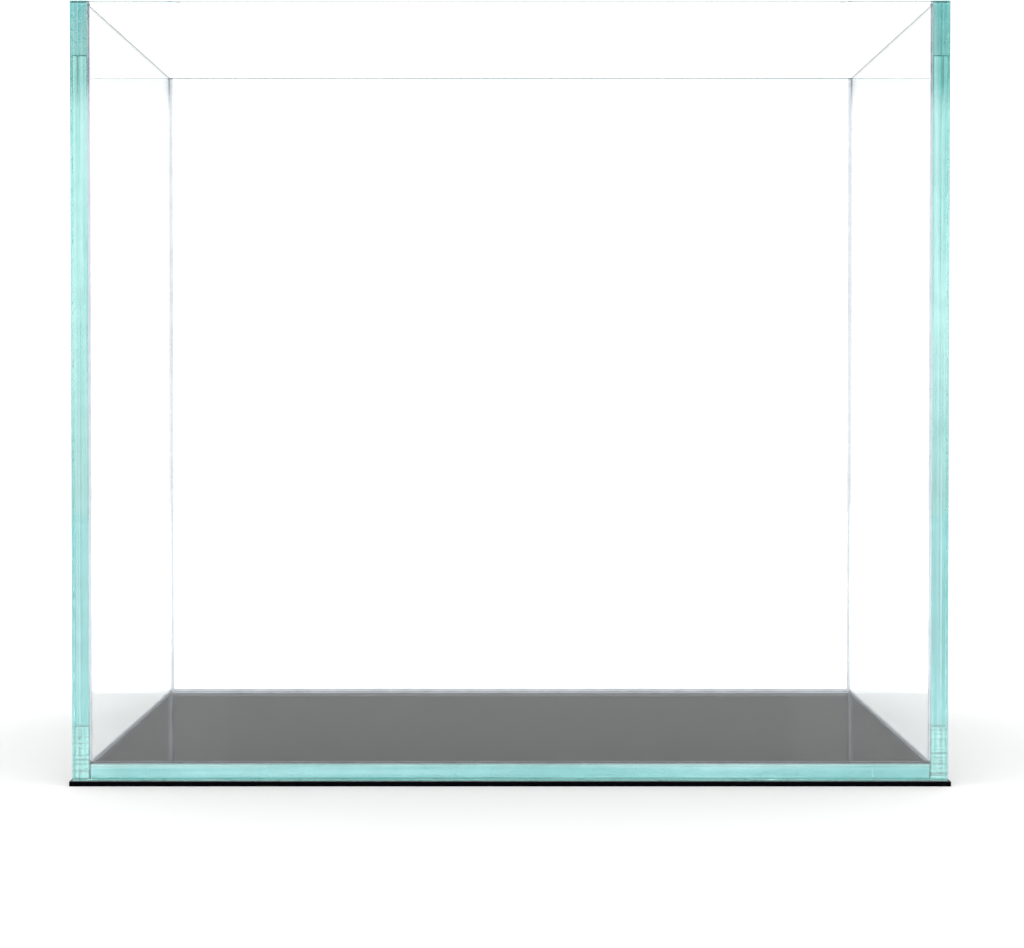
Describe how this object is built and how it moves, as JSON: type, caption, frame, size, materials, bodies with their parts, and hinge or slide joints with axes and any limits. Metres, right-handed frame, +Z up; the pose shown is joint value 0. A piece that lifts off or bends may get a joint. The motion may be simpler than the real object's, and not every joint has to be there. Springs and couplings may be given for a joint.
{
  "type": "aquarium tank",
  "caption": "Rimless rectangular tank of clear glass panes, butt-jointed with silicone and standing on a thin foam levelling mat, open at the top.",
  "frame": {"origin": "middle of the levelling mat's underside, on the surface the tank stands on", "axes": "+X along the tank's length, to the right as seen from the front; +Y from the front pane to the back pane; +Z up"},
  "size_m": [0.453, 0.303, 0.4025],
  "materials": {
    "clear_glass": "clear low-iron float glass with polished edges",
    "clear_silicone": "clear silicone, smoothly tooled",
    "black_foam": "matt closed-cell foam"
  },
  "bodies": {
    "mat": {"levelling_mat": "black_foam"},
    "tank": {"front_pane": "clear_glass", "back_pane": "clear_glass", "left_pane": "clear_glass", "right_pane": "clear_glass", "bottom_pane": "clear_glass", "front_left_bond": "clear_silicone", "front_right_bond": "clear_silicone", "back_left_bond": "clear_silicone", "back_right_bond": "clear_silicone", "bottom_front_bond": "clear_silicone", "bottom_back_bond": "clear_silicone", "bottom_left_bond": "clear_silicone", "bottom_right_bond": "clear_silicone", "front_left_bead": "clear_silicone", "front_right_bead": "clear_silicone", "back_left_bead": "clear_silicone", "back_right_bead": "clear_silicone", "bottom_front_bead": "clear_silicone", "bottom_back_bead": "clear_silicone", "bottom_left_bead": "clear_silicone", "bottom_right_bead": "clear_silicone"}
  },
  "joints": [
    {"name": "lift", "type": "slide", "parent": "mat", "child": "tank", "axis": [0, 0, 1], "range_m": [0, 0.06]}
  ]
}
